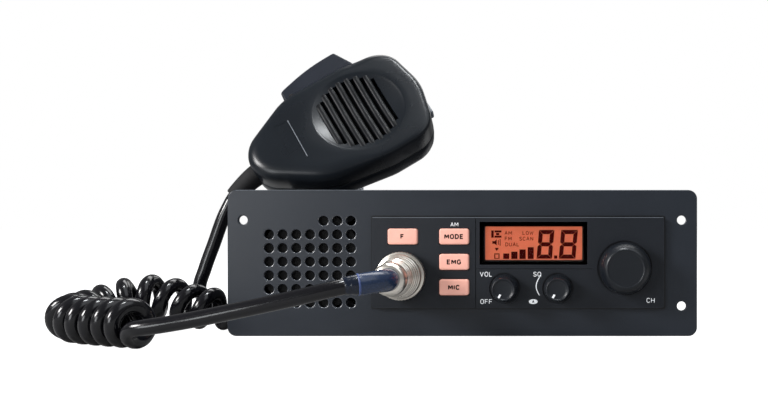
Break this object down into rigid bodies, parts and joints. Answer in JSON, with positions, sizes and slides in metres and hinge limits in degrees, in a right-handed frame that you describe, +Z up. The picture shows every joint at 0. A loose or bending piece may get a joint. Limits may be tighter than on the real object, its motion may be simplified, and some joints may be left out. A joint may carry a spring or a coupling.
{
  "type": "cb radio",
  "caption": "Panel-mounted CB radio with speaker grille, lit display, keys and knobs, and a hand microphone on a curly cord plugged into the front, hung on a holder.",
  "frame": {"origin": "middle of the front panel's bottom edge, half way through its thickness, on the standing surface", "axes": "+X along the panel to the right as seen from the front, +Y from the front to the back, +Z up"},
  "size_m": [0.2518, 0.194, 0.1257],
  "materials": {
    "panel_paint": "satin slate grey",
    "front_plastic": "fine moulded grain",
    "knob_plastic": "fine moulded grain",
    "key_plastic": "translucent, lit from behind",
    "window_plastic": "clear, dark border",
    "lcd_glass": "lit orange",
    "light_guide": "milky",
    "nickel": "satin nickel",
    "steel": "zinc plated",
    "sheet": "satin",
    "sink": "black anodised",
    "board": "solder mask",
    "black_plastic": "moulded",
    "rubber": "matt",
    "cord_jacket": "satin jacket",
    "boot_rubber": "satin",
    "cone_paper": "pressed paper",
    "cloth": "woven",
    "magnet": "plain",
    "mic_plastic": "fine moulded grain",
    "button_plastic": "moulded"
  },
  "bodies": {
    "radio": {"front_panel": "panel_paint", "panel_studs": "steel", "panel_nuts": "steel", "speaker_washers": "steel", "speaker_cloth": "cloth", "speaker_basket": "steel", "speaker_cone": "cone_paper", "speaker_magnet": "magnet", "front_bezel": "front_plastic", "display_window": "window_plastic", "lcd_panel": "lcd_glass", "backlight_block": "light_guide", "key_switches": "black_plastic", "front_board": "board", "volume_pot": "steel", "squelch_pot": "steel", "channel_encoder": "steel", "mic_socket": "nickel", "socket_insert": "black_plastic", "socket_nut": "nickel", "bottom_chassis": "sheet", "top_cover": "sheet", "rear_heat_sink": "sink", "housing_screws": "steel", "rubber_feet": "rubber", "main_board": "board", "rf_shield": "steel", "antenna_socket": "nickel", "dc_inlet": "black_plastic", "ext_speaker_jack": "nickel", "mic_holder": "steel", "plug_barrel": "nickel", "plug_boot": "boot_rubber", "plug_lead": "cord_jacket", "curly_cord": "cord_jacket", "mic_lead": "cord_jacket"},
    "volume_control": {"volume_knob": "knob_plastic", "volume_shaft": "steel"},
    "squelch_control": {"squelch_knob": "knob_plastic", "squelch_shaft": "steel"},
    "channel_control": {"channel_knob": "knob_plastic", "channel_shaft": "steel"},
    "function_button": {"function_key": "key_plastic"},
    "upper_button": {"upper_key": "key_plastic"},
    "middle_button": {"middle_key": "key_plastic"},
    "lower_button": {"lower_key": "key_plastic"},
    "coupling_nut": {"plug_coupling_nut": "nickel"},
    "microphone": {"mic_front_shell": "mic_plastic", "mic_back_shell": "mic_plastic", "mic_felt": "cloth", "mic_capsule": "nickel", "mic_board": "board", "ptt_pin": "steel", "hang_stud": "nickel", "mic_screws": "steel", "mic_strain_relief": "rubber"},
    "talk_lever": {"ptt_lever": "mic_plastic"},
    "up_button": {"mic_up_button": "button_plastic"},
    "down_button": {"mic_down_button": "button_plastic"}
  },
  "joints": [
    {"name": "volume_turn", "type": "hinge", "parent": "radio", "child": "volume_control", "pos_m": [0.0172, 0, 0.0193], "axis": [0, 1, 0], "range_deg": [0, 300]},
    {"name": "squelch_turn", "type": "hinge", "parent": "radio", "child": "squelch_control", "pos_m": [0.0383, 0, 0.0193], "axis": [0, 1, 0], "range_deg": [0, 300]},
    {"name": "channel_turn", "type": "hinge", "parent": "radio", "child": "channel_control", "pos_m": [0.0649, 0, 0.0274], "axis": [0, 1, 0], "continuous": true},
    {"name": "function_press", "type": "slide", "parent": "radio", "child": "function_button", "axis": [0, 1, 0], "range_m": [0, 0.0008], "stiffness_N_per_m": 600, "springref_m": -0.0005},
    {"name": "upper_press", "type": "slide", "parent": "radio", "child": "upper_button", "axis": [0, 1, 0], "range_m": [0, 0.0008], "stiffness_N_per_m": 600, "springref_m": -0.0005},
    {"name": "middle_press", "type": "slide", "parent": "radio", "child": "middle_button", "axis": [0, 1, 0], "range_m": [0, 0.0008], "stiffness_N_per_m": 600, "springref_m": -0.0005},
    {"name": "lower_press", "type": "slide", "parent": "radio", "child": "lower_button", "axis": [0, 1, 0], "range_m": [0, 0.0008], "stiffness_N_per_m": 600, "springref_m": -0.0005},
    {"name": "coupling_turn", "type": "hinge", "parent": "radio", "child": "coupling_nut", "pos_m": [-0.0237, 0, 0.0243], "axis": [0, 1, 0], "continuous": true},
    {"name": "microphone_lift", "type": "slide", "parent": "radio", "child": "microphone", "axis": [0, 0.4695, 0.8829], "range_m": [0, 0.04], "deforming": ["mic_lead"]},
    {"name": "talk_press", "type": "hinge", "parent": "microphone", "child": "talk_lever", "pos_m": [-0.0846, 0.06245, 0.10018], "axis": [0, 0.8829, -0.4695], "range_deg": [0, 4.5], "stiffness_Nm_per_rad": 0.5, "springref_deg": -4.58},
    {"name": "up_press", "type": "slide", "parent": "microphone", "child": "up_button", "axis": [-0.8572, -0.2418, -0.4548], "range_m": [0, 0.0008], "stiffness_N_per_m": 600, "springref_m": -0.0005},
    {"name": "down_press", "type": "slide", "parent": "microphone", "child": "down_button", "axis": [-0.8572, -0.2418, -0.4548], "range_m": [0, 0.0008], "stiffness_N_per_m": 600, "springref_m": -0.0005}
  ]
}
